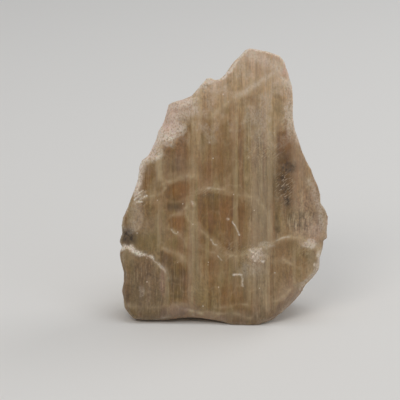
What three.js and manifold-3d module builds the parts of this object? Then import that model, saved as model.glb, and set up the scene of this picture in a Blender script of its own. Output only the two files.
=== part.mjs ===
// Winchite specimen: one wedge-shaped cleavage slab of golden-brown fibrous amphibole on its broken foot.
// Millimetres, +Z up. The broad face looks towards -Y and leans back. The origin is on the surface that
// the stone stands on, under the middle of its bounding box.
import * as THREE from 'three';
import { mergeVertices } from 'three/addons/utils/BufferGeometryUtils.js';
import Module from 'manifold-3d';

const wasm = await Module();
wasm.setup();

// How the broad face stands. Points on it are given as [across, up], measured in the face itself.
const FACE_LEAN = THREE.MathUtils.degToRad(20);
const FACE_TURN = THREE.MathUtils.degToRad(-4);

// The outline of the stone seen square to the face, clockwise from the peak, in stretches that broke alike.
// rim: how far the broken edge cuts in across the face, and how deep it falls.
// lift: how proud the face is there.
// draw: how fast the side wall draws in behind the edge, per millimetre of depth.
const OUTLINE = [
  { rim: [0.35, 0.4], lift: 0, draw: 0.1, // peak
    points: [[3.6, 46.0], [4.4, 46.3], [5.7, 46.1], [7.7, 45.6], [9.4, 45.0]] },
  { rim: [1.4, 0.9], lift: 0, draw: 0.08, // right shoulder, with its pale worn edge
    points: [[10.1, 44.3], [10.4, 43.2], [10.7, 42.4], [11.1, 40.9], [11.5, 39.6], [11.6, 37.9],
      [11.6, 34.6], [11.9, 32.7]] },
  { rim: [0.6, 0.5], lift: 0, draw: 0.1, // right flank
    points: [[12.4, 31.2], [13.0, 29.2], [13.7, 27.5], [14.6, 25.9], [15.1, 24.4], [15.7, 23.1],
      [16.1, 21.7], [16.1, 20.4]] },
  { rim: [0.7, 0.7], lift: 0, draw: 0.14, // right lobe and the nick under it
    points: [[16.9, 19.2], [17.4, 18.0], [17.2, 16.2], [17.2, 14.5], [16.6, 14.1], [16.4, 12.6],
      [16.0, 11.2], [15.9, 9.4]] },
  { rim: [1.6, 1.5], lift: 0, draw: 0.16, // lower right, broken back in a broad bevel
    points: [[14.6, 7.8], [13.5, 6.4], [12.8, 5.2], [11.6, 3.9], [10.2, 2.6], [8.6, 1.2], [7.1, 0.6]] },
  { rim: [0.4, 0.3], lift: 0, draw: 0, // right half of the foot
    points: [[5.6, 0.1], [3.6, 0.1], [1.1, 0.2], [0.1, 0.5]] },
  { rim: [0.5, 0.4], lift: 0.1, draw: 0, // the low arch between the two ends of the foot
    points: [[-1.4, 0.9], [-3.4, 1.1], [-5.6, 1.3], [-7.6, 1.2], [-10.1, 0.9]] },
  { rim: [0.6, 0.5], lift: 0.4, draw: 0, // left half of the foot
    points: [[-12.9, 0.9], [-15.0, 1.1], [-15.9, 2.0]] },
  { rim: [0.6, 0.6], lift: 0.6, draw: 0.08, // lower left flank, on the raised layer
    points: [[-16.6, 3.1], [-16.8, 4.6], [-17.0, 5.7], [-16.7, 7.4], [-16.7, 8.7], [-17.1, 10.2],
      [-17.4, 11.6], [-17.4, 12.4]] },
  { rim: [0.9, 0.7], lift: 0, draw: 0.1, // left waist
    points: [[-17.1, 13.1], [-17.5, 14.0], [-17.1, 15.4], [-17.2, 16.6], [-16.9, 18.1], [-16.2, 19.7],
      [-15.5, 21.5], [-14.9, 23.0], [-14.4, 24.6], [-14.2, 26.6]] },
  { rim: [2.1, 1.3], lift: 0, draw: 0.08, // upper left, a wide chalky slope
    points: [[-13.9, 27.6], [-13.4, 28.1], [-12.7, 28.5], [-12.0, 29.8], [-11.4, 31.1], [-11.1, 32.5],
      [-10.5, 33.6], [-10.0, 34.6], [-9.6, 36.0], [-9.3, 37.0]] },
  { rim: [1.0, 0.7], lift: 0, draw: 0.1, // the step below the saddle
    points: [[-8.8, 37.3], [-6.9, 37.8], [-5.4, 38.4]] },
  { rim: [0.45, 0.4], lift: 0, draw: 0.1, // knob and saddle
    points: [[-4.8, 39.1], [-4.1, 39.8], [-3.8, 40.3], [-3.3, 40.8], [-2.9, 41.3], [-2.2, 41.4],
      [-1.5, 41.0], [-0.6, 41.2], [0.1, 41.8]] },
  { rim: [0.5, 0.5], lift: 0, draw: 0.1, // left side of the peak
    points: [[0.9, 43.0], [1.7, 44.1], [2.6, 44.9]] },
];
// The side walls draw in towards the nearest point of this upright line inside the stone.
const KEEL = { foot: new THREE.Vector2(1.5, 9), crown: new THREE.Vector2(3.5, 35) };
// The broken edge runs through a point part of the way in and down, and its width varies by a share.
const RIM_BEND = { inward: 0.45, down: 0.42, varies: 0.3, roughness: 0.22, ahead: -5 };
// Behind its edge the side wall steps in where layers broke off: depth, and how far in the step has come.
const WALL_STEPS = [[2.3, 0.1], [2.7, 0.7], [5.2, 0.5], [5.7, 1.5], [8.4, 1.2], [9.0, 2.1], [12.4, 1.7],
  [13.0, 2.9], [18, 2.6], [28, 3.4]];
// Each step breaks away in patches, so many outline points by so many levels, and is rough in facets.
const WALL_PATCH = { points: 5, levels: 2, least: 0.1 };
const WALL_FACET = { points: 2, roughness: 0.8 };

// The face is made of upright cleavage strips: where each starts, and how deep it lies.
const FACE_STRIPS = [[-22, 0.12], [-13.6, 0.02], [-10.6, 0.13], [-8.4, 0.05], [-5.4, -0.06],
  [-4.7, 0.12], [-1.9, 0.06], [1.8, -0.07], [2.4, 0.08], [4.3, -0.02], [6.2, 0.07], [7.3, -0.08],
  [8.1, 0.1], [10.0, 0.02], [12.4, 0.12]];
const STRIP_STEP_WIDTH = 0.24;
const FACE_REACH = { across: 22, down: -10, up: 52, column: 1.3, row: 2.3, behind: 60 };
const FACE_WAVE = { height: 0.12, pitch: 4.1, grain: 0.35 };

// A thin layer still stands on the lower left of the face, behind a broken ledge.
const LAYER_OUTLINE = [[-22, 12.4], [-17.3, 12.6], [-16.4, 13.2], [-15.5, 13.1], [-14.6, 12.2],
  [-13.4, 11.9], [-12.3, 11.5], [-11.5, 10.6], [-10.6, 10.0], [-9.8, 9.2], [-9.3, 8.3], [-9.1, 6.7],
  [-9.0, 4.7], [-8.5, 3.6], [-7.3, 2.9], [-5.6, 2.5], [-3.8, 1.9], [-2.6, 0.4], [-2.2, -6], [-22, -6]];
const LAYER_RISE = { atLeft: 0.95, atRight: 0.04, left: -16.5, right: -8.6, roughness: 0.06, root: 2 };

// The back is upright cleavage planes that step: [across, depth at the foot, depth at peak height].
const BACK_PLANES = [[-24, 6.4, 16.9], [-15.5, 8.2, 17.3], [-12.4, 10.9, 17.9], [-12.15, 11.9, 18.5],
  [-7.5, 14.8, 18.9], [-7.2, 15.7, 19.5], [-1.2, 16.8, 19.9], [3.3, 17.2, 20.1], [3.6, 16.1, 19.5],
  [8.4, 14.0, 19.0], [8.65, 13.1, 18.5], [12.6, 10.6, 18.0], [24, 5.4, 16.9]];
const BACK_REACH = { down: -4, up: 50, column: 1.9, row: 2.2, leastRow: 0.3, front: -40 };
const PEAK_HEIGHT = 43.5;
const BACK_WAVE = { height: 0.3, pitch: 5.3, grain: 0.4 };
// Thick splinters that broke off the back: from and to across, the height above which they are gone,
// how thick they were there, and how steeply the break runs across.
const BACK_LEDGES = [[-24, -12.3, 25.0, 1.6, 0.3], [-12.3, -7.4, 28.5, 2.2, -0.55],
  [-7.35, -1.3, 21.0, 3.0, 0.5], [-1.3, 3.4, 26.0, 2.6, -0.7], [3.45, 8.5, 16.0, 2.1, 0.65],
  [8.5, 24, 22.5, 1.6, -0.3], [-7.35, -4.2, 35.5, 0.9, -0.8], [-1.3, 1.4, 11.5, 0.7, 0.9]];
const LEDGE_SIDES = [-4.4, -4.1, 1.3, 1.6];
// Each break is so high and ragged, bends the rows near it, and pivots no further out than a limit.
const LEDGE_BREAK = { height: 0.6, raggedness: 0.35, reach: 3.2, outermost: 15 };
const LEFT_AT_PEAK = 0.1; // the missing thickness fades to this share at the peak

// Shell-shaped chips: centre and half sizes, [across, up, deep] in the frame of the face.
const CHIPS = [
  { at: [-5.6, -1.6, 3.2], size: [8.2, 3.6, 5.2] }, // under the arch of the foot
  { at: [-15.6, 17.6, -1.05], size: [2.5, 3.3, 1.6] }, // flake off the left waist
];
const CHIP_DETAIL = 3;

const GROUND = { side: 120, depth: 40 }; // cut away below the foot
const SHORTEST_EDGE = 0.02; // slivers that the cuts leave are closed up below this
const SAME_POINT = 1e-5;
const STONE_COLOUR = 0x9a7c5a;
const STONE_ROUGHNESS = 0.5;

// One seed for each thing that varies.
const SEED = { rimWidth: 3, rimBend: 5, wallFacet: 9, wallPatch: 27, faceSwell: 2, faceGrain: 7, layer: 13,
  backSwell: 4, backGrain: 11, ledge: 31 };

// A repeatable number from -1 to 1 for a pair of indices.
function scatter(i, j, seed) {
  const wave = Math.sin(i * 127.1 + j * 311.7 + seed * 74.7) * 43758.5453;
  return 2 * (wave - Math.floor(wave)) - 1;
}

// A repeatable number from the least value up to 1 for a pair of indices.
function share(i, j, seed, least = 0) {
  return THREE.MathUtils.lerp(least, 1, 0.5 + 0.5 * scatter(i, j, seed));
}

// A slow repeatable swell from -1 to 1 over the plane.
function swell(a, b, pitch, seed) {
  const first = Math.sin(a / pitch + 1.7 * seed) * Math.cos(b / (pitch * 1.9) - seed);
  const second = Math.sin(a / (pitch * 0.53) - b / (pitch * 1.3) + 2.3 * seed);
  return 0.6 * first + 0.4 * second;
}

function toSolid(geometry) {
  geometry.deleteAttribute('normal');
  geometry.deleteAttribute('uv');
  const merged = mergeVertices(geometry, SAME_POINT);
  return new wasm.Manifold(new wasm.Mesh({
    numProp: 3,
    vertProperties: new Float32Array(merged.attributes.position.array),
    triVerts: new Uint32Array(merged.index.array),
  }));
}

function meshGeometry(vertices, triangles) {
  const geometry = new THREE.BufferGeometry();
  geometry.setAttribute('position', new THREE.Float32BufferAttribute(vertices.flat(), 3));
  geometry.setIndex(triangles.flat());
  return geometry;
}

// Triangles that fill a closed contour, wound as the contour is.
function capTriangles(contour) {
  const clockwise = THREE.ShapeUtils.isClockWise(contour);
  return THREE.ShapeUtils.triangulateShape(contour, []).map(([a, b, c]) => {
    const alike = THREE.ShapeUtils.isClockWise([contour[a], contour[b], contour[c]]) === clockwise;
    return alike ? [a, b, c] : [a, c, b];
  });
}

// Two triangles for each cell of a grid of points, whose diagonals alternate.
function gridTriangles(rows, columns, pointAt, closed = false) {
  const triangles = [];
  for (let r = 0; r < rows - 1; r += 1) {
    for (let c = 0; c < (closed ? columns : columns - 1); c += 1) {
      const next = (c + 1) % columns;
      const [a, b, d, e] = [pointAt(r, c), pointAt(r, next), pointAt(r + 1, next), pointAt(r + 1, c)];
      if ((r + c) % 2 === 0) {
        triangles.push([a, b, d], [a, d, e]);
      } else {
        triangles.push([a, b, e], [b, d, e]);
      }
    }
  }
  return triangles;
}

// A closed body through rings of points, front ring first, each clockwise as seen from the front.
function bodyThrough(rings) {
  const count = rings[0].length;
  const last = (rings.length - 1) * count;
  const triangles = gridTriangles(rings.length, count, (level, i) => level * count + i, true);
  const contourOf = (ring) => ring.map(([across, , up]) => new THREE.Vector2(across, up));
  capTriangles(contourOf(rings[0])).forEach(([a, b, c]) => triangles.push([a, c, b]));
  capTriangles(contourOf(rings[rings.length - 1])).forEach(([a, b, c]) => {
    triangles.push([last + a, last + b, last + c]);
  });
  return meshGeometry(rings.flat(), triangles);
}

// Turns the frame of the face, x across, y into the stone and z up, to how the face stands.
const faceStands = new THREE.Matrix4()
  .makeRotationX(-FACE_LEAN)
  .multiply(new THREE.Matrix4().makeRotationZ(FACE_TURN));

// The prism of the outline: rings of points from in front of the face to behind the stone.
function wallGeometry() {
  const edge = OUTLINE.flatMap((stretch) => stretch.points.map((point) => ({ ...stretch, point })));
  const count = edge.length;
  const inward = edge.map(({ point }) => {
    const here = new THREE.Vector2(...point);
    const keel = new THREE.Vector2().subVectors(KEEL.crown, KEEL.foot);
    const along = here.clone().sub(KEEL.foot).dot(keel) / keel.lengthSq();
    const nearest = KEEL.foot.clone().addScaledVector(keel, THREE.MathUtils.clamp(along, 0, 1));
    return nearest.sub(here).normalize();
  });
  const blend = (i, pick) => {
    const [before, here, after] = [edge[(i + count - 1) % count], edge[i], edge[(i + 1) % count]];
    return 0.25 * pick(before) + 0.5 * pick(here) + 0.25 * pick(after);
  };
  const lineOf = (i) => {
    const varied = 1 + RIM_BEND.varies * scatter(i, 0, SEED.rimWidth);
    const cut = varied * blend(i, (stretch) => stretch.rim[0]);
    const fall = blend(i, (stretch) => stretch.rim[1]);
    const lift = blend(i, (stretch) => stretch.lift);
    const draw = blend(i, (stretch) => stretch.draw);
    const middle = cut * (RIM_BEND.inward + RIM_BEND.roughness * scatter(i, 1, SEED.rimBend));
    const levels = [
      [RIM_BEND.ahead, cut],
      [-lift, cut],
      [RIM_BEND.down * fall - lift, middle],
      [fall - lift, 0],
    ];
    WALL_STEPS.forEach(([depth, step], level) => {
      const facet = Math.floor(i / WALL_FACET.points);
      const rough = WALL_FACET.roughness * share(facet, level, SEED.wallFacet);
      const patch = [Math.floor(i / WALL_PATCH.points), Math.floor(level / WALL_PATCH.levels)];
      const broken = share(...patch, SEED.wallPatch, WALL_PATCH.least);
      levels.push([depth, draw > 0 ? draw * depth + broken * step + rough : 0]);
    });
    return levels.map(([depth, inset]) => [
      edge[i].point[0] + inward[i].x * inset,
      depth,
      edge[i].point[1] + inward[i].y * inset,
    ]);
  };
  const lines = edge.map((_, i) => lineOf(i));
  return bodyThrough(lines[0].map((_, level) => lines.map((line) => line[level])));
}

// A block whose one side is a grid of points and whose other sides are flat.
function blockBehind(grid, backOf) {
  const rows = grid.length;
  const columns = grid[0].length;
  const vertices = [...grid.flat(), ...grid.flat().map(backOf)];
  const front = (r, c) => r * columns + c;
  const back = (r, c) => rows * columns + r * columns + c;
  const triangles = gridTriangles(rows, columns, front);
  gridTriangles(rows, columns, back).forEach(([a, b, c]) => triangles.push([a, c, b]));
  const loop = [];
  for (let c = 0; c < columns - 1; c += 1) {
    loop.push([0, c]);
  }
  for (let r = 0; r < rows - 1; r += 1) {
    loop.push([r, columns - 1]);
  }
  for (let c = columns - 1; c > 0; c -= 1) {
    loop.push([rows - 1, c]);
  }
  for (let r = rows - 1; r > 0; r -= 1) {
    loop.push([r, 0]);
  }
  loop.forEach(([r, c], i) => {
    const [nextRow, nextColumn] = loop[(i + 1) % loop.length];
    triangles.push([front(r, c), back(r, c), back(nextRow, nextColumn)]);
    triangles.push([front(r, c), back(nextRow, nextColumn), front(nextRow, nextColumn)]);
  });
  return meshGeometry(vertices, triangles);
}

function linesBetween(from, to, pitch) {
  const steps = Math.ceil((to - from) / pitch);
  return Array.from({ length: steps + 1 }, (_, i) => from + (i * (to - from)) / steps);
}

// Everything behind the broad face.
function faceBlock() {
  const columns = [];
  FACE_STRIPS.forEach(([start, depth], i) => {
    const end = i + 1 < FACE_STRIPS.length ? FACE_STRIPS[i + 1][0] : FACE_REACH.across;
    const inset = 0.5 * STRIP_STEP_WIDTH;
    linesBetween(start + inset, end - inset, FACE_REACH.column).forEach((across) => {
      columns.push({ across, depth });
    });
  });
  const rows = linesBetween(FACE_REACH.down, FACE_REACH.up, FACE_REACH.row);
  const grid = rows.map((up, r) => columns.map(({ across, depth }, c) => {
    const grain = FACE_WAVE.grain * scatter(r, c, SEED.faceGrain);
    const wave = swell(across, up, FACE_WAVE.pitch, SEED.faceSwell) + grain;
    return [across, depth + FACE_WAVE.height * wave, up];
  }));
  return blockBehind(grid, ([across, , up]) => [across, FACE_REACH.behind, up]);
}

// The raised layer, sunk into the stone behind it.
function layerBlock() {
  const rise = THREE.MathUtils.mapLinear;
  const proud = (across, i) => {
    const slope = rise(across, LAYER_RISE.left, LAYER_RISE.right, LAYER_RISE.atLeft, LAYER_RISE.atRight);
    const height = THREE.MathUtils.clamp(slope, LAYER_RISE.atRight, LAYER_RISE.atLeft);
    return height + LAYER_RISE.roughness * scatter(i, 0, SEED.layer);
  };
  return bodyThrough([
    LAYER_OUTLINE.map(([across, up], i) => [across, -proud(across, i), up]),
    LAYER_OUTLINE.map(([across, up]) => [across, LAYER_RISE.root, up]),
  ]);
}

// Depth of the back, as a distance behind the foot's front edge.
function backDepth(across, height) {
  const last = BACK_PLANES.length - 1;
  const at = Math.max(1, Math.min(last, BACK_PLANES.findIndex(([edge]) => edge >= across)));
  const [[fromX, fromFoot, fromPeak], [toX, toFoot, toPeak]] = [BACK_PLANES[at - 1], BACK_PLANES[at]];
  const along = (across - fromX) / (toX - fromX);
  const foot = THREE.MathUtils.lerp(fromFoot, toFoot, along);
  const peak = THREE.MathUtils.lerp(fromPeak, toPeak, along);
  return THREE.MathUtils.lerp(foot, peak, height / PEAK_HEIGHT);
}

// How much of the back has broken away at a place.
function splinterGone(across, height) {
  return BACK_LEDGES.filter(([from, to, ledge]) => across >= from && across <= to && height > ledge)
    .reduce((sum, [, , ledge, thickness]) => {
      const climbed = Math.min(1, (height - ledge) / (PEAK_HEIGHT - ledge));
      return sum + THREE.MathUtils.lerp(thickness, LEFT_AT_PEAK * thickness, climbed);
    }, 0);
}

// Everything in front of the back.
function backBlock() {
  const edges = [...BACK_PLANES.map(([edge]) => edge), ...LEDGE_SIDES].sort((a, b) => a - b);
  const columns = [edges[0]];
  edges.slice(1).forEach((edge, i) => {
    columns.push(...linesBetween(edges[i], edge, BACK_REACH.column).slice(1));
  });
  const ledgeRows = BACK_LEDGES.flatMap(([, , height]) => [height, height + LEDGE_BREAK.height]);
  const evenRows = linesBetween(BACK_REACH.down, BACK_REACH.up, BACK_REACH.row)
    .filter((height) => ledgeRows.every((ledge) => Math.abs(height - ledge) > BACK_REACH.leastRow));
  const rows = [...evenRows, ...ledgeRows].sort((a, b) => a - b);
  const bent = (across, height, c) => BACK_LEDGES.filter(([from, to]) => across >= from && across <= to)
    .reduce((sum, [from, to, ledge, , steepness]) => {
      const pivot = THREE.MathUtils.clamp(0.5 * (from + to), -LEDGE_BREAK.outermost, LEDGE_BREAK.outermost);
      const rise = steepness * (across - pivot) + LEDGE_BREAK.raggedness * scatter(c, 0, SEED.ledge);
      return sum + rise * Math.exp(-(((height - ledge) / LEDGE_BREAK.reach) ** 2));
    }, 0);
  const grid = rows.map((height, r) => [...columns].reverse().map((across, c) => {
    const grain = BACK_WAVE.grain * scatter(r, c, SEED.backGrain);
    const wave = BACK_WAVE.height * (swell(across, height, BACK_WAVE.pitch, SEED.backSwell) + grain);
    const depth = backDepth(across, height) - splinterGone(across, height) + wave;
    return [across, depth, height + bent(across, height, c)];
  }));
  return blockBehind(grid, ([across, , height]) => [across, BACK_REACH.front, height]);
}

function chipGeometry({ at, size }) {
  const chip = new THREE.IcosahedronGeometry(1, CHIP_DETAIL);
  chip.scale(size[0], size[2], size[1]);
  chip.translate(at[0], at[2], at[1]);
  return chip;
}

function groundGeometry() {
  const ground = new THREE.BoxGeometry(GROUND.side, GROUND.side, GROUND.depth);
  ground.translate(0, 0, -0.5 * GROUND.depth);
  return ground;
}

function stoneGeometry() {
  const face = toSolid(faceBlock()).add(toSolid(layerBlock()));
  const chipped = CHIPS.reduce(
    (solid, chip) => solid.subtract(toSolid(chipGeometry(chip))),
    face.intersect(toSolid(wallGeometry())),
  );
  const leaning = chipped.transform(faceStands.elements);
  const stone = leaning.intersect(toSolid(backBlock())).subtract(toSolid(groundGeometry()));
  const mesh = stone.simplify(SHORTEST_EDGE).getMesh();
  const geometry = new THREE.BufferGeometry();
  geometry.setAttribute('position', new THREE.BufferAttribute(new Float32Array(mesh.vertProperties), 3));
  geometry.setIndex(new THREE.BufferAttribute(new Uint32Array(mesh.triVerts), 1));
  geometry.computeBoundingBox();
  const { min, max } = geometry.boundingBox;
  geometry.translate(-0.5 * (min.x + max.x), -0.5 * (min.y + max.y), 0);
  geometry.computeVertexNormals();
  return geometry;
}

const crystal = new THREE.Mesh(
  stoneGeometry(),
  new THREE.MeshStandardMaterial({ color: STONE_COLOUR, roughness: STONE_ROUGHNESS, metalness: 0 }),
);
crystal.name = 'winchite_crystal';

const specimen = new THREE.Group();
specimen.add(crystal);

export default specimen;
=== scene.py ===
import itertools
import math

import bmesh
import bpy
import numpy as np
from mathutils import Euler, Matrix, Vector, kdtree


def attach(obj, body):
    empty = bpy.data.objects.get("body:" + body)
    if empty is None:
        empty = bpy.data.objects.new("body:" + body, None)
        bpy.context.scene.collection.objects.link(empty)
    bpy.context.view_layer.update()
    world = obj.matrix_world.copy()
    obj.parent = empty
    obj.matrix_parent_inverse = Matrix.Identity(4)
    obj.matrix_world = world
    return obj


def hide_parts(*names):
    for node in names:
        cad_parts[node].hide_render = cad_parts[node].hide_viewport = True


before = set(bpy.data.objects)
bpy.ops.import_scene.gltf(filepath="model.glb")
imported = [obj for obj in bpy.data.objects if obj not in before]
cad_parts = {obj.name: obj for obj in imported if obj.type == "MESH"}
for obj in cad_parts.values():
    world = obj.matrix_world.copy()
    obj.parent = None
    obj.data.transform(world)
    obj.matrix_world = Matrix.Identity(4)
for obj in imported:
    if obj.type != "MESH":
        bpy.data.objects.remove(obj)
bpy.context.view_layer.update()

# ---------------- sizes
# Lengths on the stone are in millimetres. The floor, the lights and the finished scene are in metres.
MM = 0.001
SAME_POINT = 1e-7        # corners of the solid that are nearer than this, in metres, are one
GRAIN_OF_MESH = 0.15     # spacing of the fine mesh before it is thinned
TRIANGLE_BUDGET = 190000
CREASE_ANGLE = math.radians(24)   # where two facets meet more steeply, their edge is crisp

# The broad face has a frame of its own: across, into the stone, and up the fibres.
FACE_LEAN = math.radians(20)
FACE_TURN = math.radians(-4)
FACE_ORIGIN = np.array([0.0, -9.59, 0.0])
FACE_AXES = np.array(Matrix.Rotation(-FACE_LEAN, 3, "X") @ Matrix.Rotation(FACE_TURN, 3, "Z"))

# What counts as broad face: how squarely it looks out, from 0 to 1, where it starts and is whole, and
# between which depths it ends.
FACE_OF_RELIEF = ((0.75, 0.93), (2.0, 3.0))
FACE_OF_MARKS = ((0.12, 0.45), (2.2, 3.4))
RIM_FACING = 0.62        # less squarely than this looks the broken edge of the face
BACK_FACING = 0.45       # and more squarely than this, the other way, looks the back

# ---------------- relief
# The back is levelled along the fibres over so many cells of a grid, each way, and stays where the move
# would be large.
STRAIGHT_PITCH = 0.25
STRAIGHT_REACH = 12
STRAIGHTEN_MOST = 0.50
BACK_STRAIGHTENS = (0.35, 0.70)   # how squarely the back looks where levelling starts and is full,
FOOT_STAYS = (0.3, 1.5)           # and at what heights it starts and is full
# Noise on the surface: its height, its pitch across, into the stone and up the fibres, and its seed.
STRIAE = (0.030, (0.9, 3.0, 17.0), 3)
GRAIN = (0.010, (0.9, 0.9, 1.4), 8)
CRUMBLE = (0.16, (0.7, 0.7, 0.9), 23)
TORN_EDGE = (0.06, (0.9, 0.9, 1.2), 19)
# Laths and flutes: their height, their width, their length until they break, and their seed.
CLEAVAGE_HALF_ANGLE = math.radians(28)
FINE_LATHS = (0.010, 0.75, 11.0, 5)
SPLINTERS = (0.20, 2.2, 18.0, 15)
FLUTES = [(0.85, 2.9, 24.0, 11), (0.24, 1.2, 15.0, 13)]
FLUTE_MIDDLE = 0.45      # how much of a flute's height lies inside the solid
CRUMBLED_RIM = 0.45      # how far crumbling reaches from the broken edge
RIM_CRUMBLE = 0.60       # how much of it there is on the rim
GRANULAR_CRUMBLE = 0.30  # and on granular stone
CHALK_EDGE = 0.5         # how soft the edge of a crushed patch is, as a share of its size
BEHIND_RIM = (0.8, 2.8)  # the depths where splinters start and reach their full height
NEAR_GROUND = (0.02, 0.5)         # the heights where the underside starts to be rough and is in full
RELIEF_OF_FIBRES = 0.10  # how deep the finish is furrowed
DEPTH_OF_LIGHT = 0.9     # how far red light sinks in

# ---------------- growth and breakage marks
# Marks are given on the broad face, by points that are (across, up). They go right through the stone, and
# past 1 mm they shift across and up by this much for each mm of depth.
THROUGH = np.array([0.30, -0.42])
CRUSHED_RIM = 0.36       # how far white crushed stone reaches from the broken edge
LEAST_FIBRE = 0.24       # how strongly single fibres show where they show least
WEAR_REACH = 4           # a crest is measured against so many rings of neighbours
WEAR_SOFTENING = 2       # and softened over so many
# How deep the honey colour looks at each height, on the face and on the back: lighter towards the top.
# On the face this is partly the stone's own colour and partly painted light from above.
FACE_DEPTHS_AND_TOP_LIGHT = ([0, 3, 6, 14, 22, 30, 37, 43, 48], [0.86, 0.77, 0.66, 0.64, 0.62, 0.52, 0.29, 0.05, 0.00])
BACK_DEPTHS = ([0, 12, 30, 44], [0.46, 0.38, 0.28, 0.08])

# Upright bands where the fibres run pale: across, from, to, half width, strength.
PALE_BANDS = [
    (-4.9, 24, 40, 0.46, 0.32), (-5.3, 12.5, 23.5, 0.42, 0.32), (-5.55, 3, 12, 0.42, 0.3),
    (-5.25, 2.5, 36.7, 0.18, 0.2), (1.95, 10.4, 35.5, 0.4, 0.28), (7.65, 12, 41.7, 0.45, 0.48),
    (7.35, 2.2, 12, 0.34, 0.44), (8.2, 24, 33, 0.4, 0.34), (-9.4, 3, 9.6, 0.24, 0.34),
    (-10.8, 23.5, 31.5, 0.5, 0.6), (-10.7, 12.4, 21.4, 0.28, 0.3), (5.1, 2.5, 34, 0.3, 0.26),
    (6.2, 6, 36, 0.2, 0.2), (-1.9, 24, 37.5, 0.2, 0.16), (11.75, 17, 28, 0.3, 0.3),
    (13, 15.5, 22, 0.24, 0.3), (11.75, 5, 13, 0.26, 0.34), (-12.6, 22, 27.5, 0.18, 0.22),
    (3.5, 29, 45, 0.2, 0.24), (-4, 33.5, 40.5, 0.32, 0.5), (2.15, 40.5, 43.2, 0.34, 0.6),
    (6.5, 39.5, 44.5, 0.22, 0.26),
]
# Thin dark seams beside the pale bands: across, from, to, half width, strength.
DARK_SEAMS = [
    (2.62, 31, 33.2, 0.14, 0.34), (2.55, 12.4, 20.6, 0.12, 0.24), (9.1, 21, 33.5, 0.3, 0.4),
    (8.75, 13.5, 21, 0.24, 0.48), (5.45, 39.5, 44.5, 0.22, 0.26), (-6.4, 24.5, 32.5, 0.26, 0.18),
    (-3.6, 25, 33, 0.3, 0.14), (3.5, 4, 10.5, 0.36, 0.36), (9.2, 35, 39.5, 0.36, 0.12),
    (2.5, 22.4, 30.4, 0.1, 0.16), (3.4, 24, 29.5, 0.12, 0.22), (6.55, 22, 27.5, 0.1, 0.26),
    (5.6, 23.5, 31, 0.1, 0.22), (-5.95, 1.8, 9.5, 0.14, 0.34), (8.2, 1.8, 13.2, 0.14, 0.18),
    (-11.1, 21.4, 26.4, 0.14, 0.3), (-9.3, 3.6, 9.4, 0.16, 0.22), (-3.95, 23.6, 31, 0.12, 0.22),
    (0.2, 24.5, 33, 0.1, 0.16), (-8.4, 24.8, 31, 0.14, 0.26), (-7.6, 25.4, 28.6, 0.34, 0.3),
    (-5.2, 37.2, 37.9, 0.11, 0.6),
]
# Healed cracks that show as thin milky veils: half width, how far their haze reaches, strength, points.
VEILS = [
    (0.4, 1, 0.86, (-2.6, 34.6), (-1, 35.8), (0.5, 37.2), (3.6, 39.1), (6.2, 40.7), (8.3, 42),
        (8.8, 43.4)),
    (0.36, 0.9, 0.66, (-10.4, 23.6), (-9, 24.1), (-7.3, 24.4), (-4.8, 25)),
    (0.24, 0.9, 0.6, (-15.5, 20.4), (-13.6, 21.1), (-12, 21.6), (-10.6, 22.1), (-9.8, 22.9)),
    (0.24, 1.1, 0.56, (-4.8, 22.2), (-3.8, 22.8), (-2.4, 22.8), (-1, 22.6), (1.9, 21.9), (4.4, 21.5),
        (6.4, 20.3), (7.3, 18.6), (7.5, 17.6)),
    (0.16, 0.5, 0.6, (-8.6, 18.3), (-7.2, 18.9), (-6.2, 19.7), (-5.4, 20.8)),
    (0.16, 0.5, 0.5, (-6.4, 19.2), (-5.9, 17.8), (-5.3, 16.6)),
    (0.14, 0.5, 0.52, (-9.6, 16.2), (-7.8, 15.3), (-6.9, 14.4), (-6.2, 13.2)),
    (0.22, 0.7, 0.6, (-5, 16.9), (-3.1, 15.2), (-1.5, 13.6), (0.2, 12.2), (1.4, 11.7), (3.6, 12),
        (5.2, 12.6), (6.9, 13.2), (7.9, 14)),
    (0.2, 0.6, 0.78, (7.6, 13.4), (8.8, 14.1), (9.8, 14.45), (11.2, 14.7), (12.4, 14.7), (13.6, 14.1),
        (15.2, 13.2), (16.2, 11.8)),
    (0.3, 0.7, 0.5, (-10.2, 12.9), (-8.8, 12.2), (-7.3, 11.6), (-5.8, 10.6)),
    (0.3, 0.6, 0.34, (-9.2, 8.1), (-8, 7.7), (-6.4, 7.5)),
    (0.22, 0.6, 0.64, (8.4, 4), (9.6, 4.6), (10.8, 5.7), (12, 6.5), (13.4, 6.8)),
    (0.26, 0.6, 0.6, (-5.4, 2.5), (-3, 2.1), (-1, 2.1), (1, 2.1), (2.4, 1.7), (4.4, 1.3)),
    (0.2, 0.6, 0.46, (-1.5, 3), (0.5, 3.1), (2, 3.4), (4, 3.5)),
    (0.26, 0.6, 0.54, (8.2, 10.6), (9.5, 10.9), (10.8, 10.5), (12.2, 9.6), (13.6, 9.4)),
    (0.2, 0.6, 0.4, (-4, 13.2), (-2.5, 12.3), (-0.8, 11.9), (1, 11.7)),
    (0.15, 0.5, 0.55, (-15.6, 19.5), (-14.6, 19.3), (-13.8, 18.4), (-13.7, 17.2), (-14.2, 16.1),
        (-15, 15.8)),
    (0.12, 0.4, 0.4, (-13, 17.6), (-12.9, 16), (-13.3, 15)),
    (0.12, 0.4, 0.3, (-4.4, 9.6), (-3.6, 7.4), (-3.9, 5)),
    (0.1, 0.3, 0.8, (-5.2, 20.4), (-4.9, 20.6), (-4.6, 20.3), (-4.7, 19.9), (-5.1, 19.9), (-5.2, 20.3)),
    (0.18, 0.4, 0.44, (-11.7, 10.8), (-10.7, 9.8), (-9.8, 9), (-9.3, 7.8), (-9.3, 5.9), (-9.7, 4.4),
        (-10, 3.2)),
    (0.34, 0.6, 0.34, (-16.4, 3.3), (-12, 2.9), (-9.5, 3.2), (-6.5, 3.5), (-5.2, 3.1)),
    (0.24, 0.5, 0.3, (-12.4, 7.6), (-12.3, 6.6), (-12.4, 5.6)),
]
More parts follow.
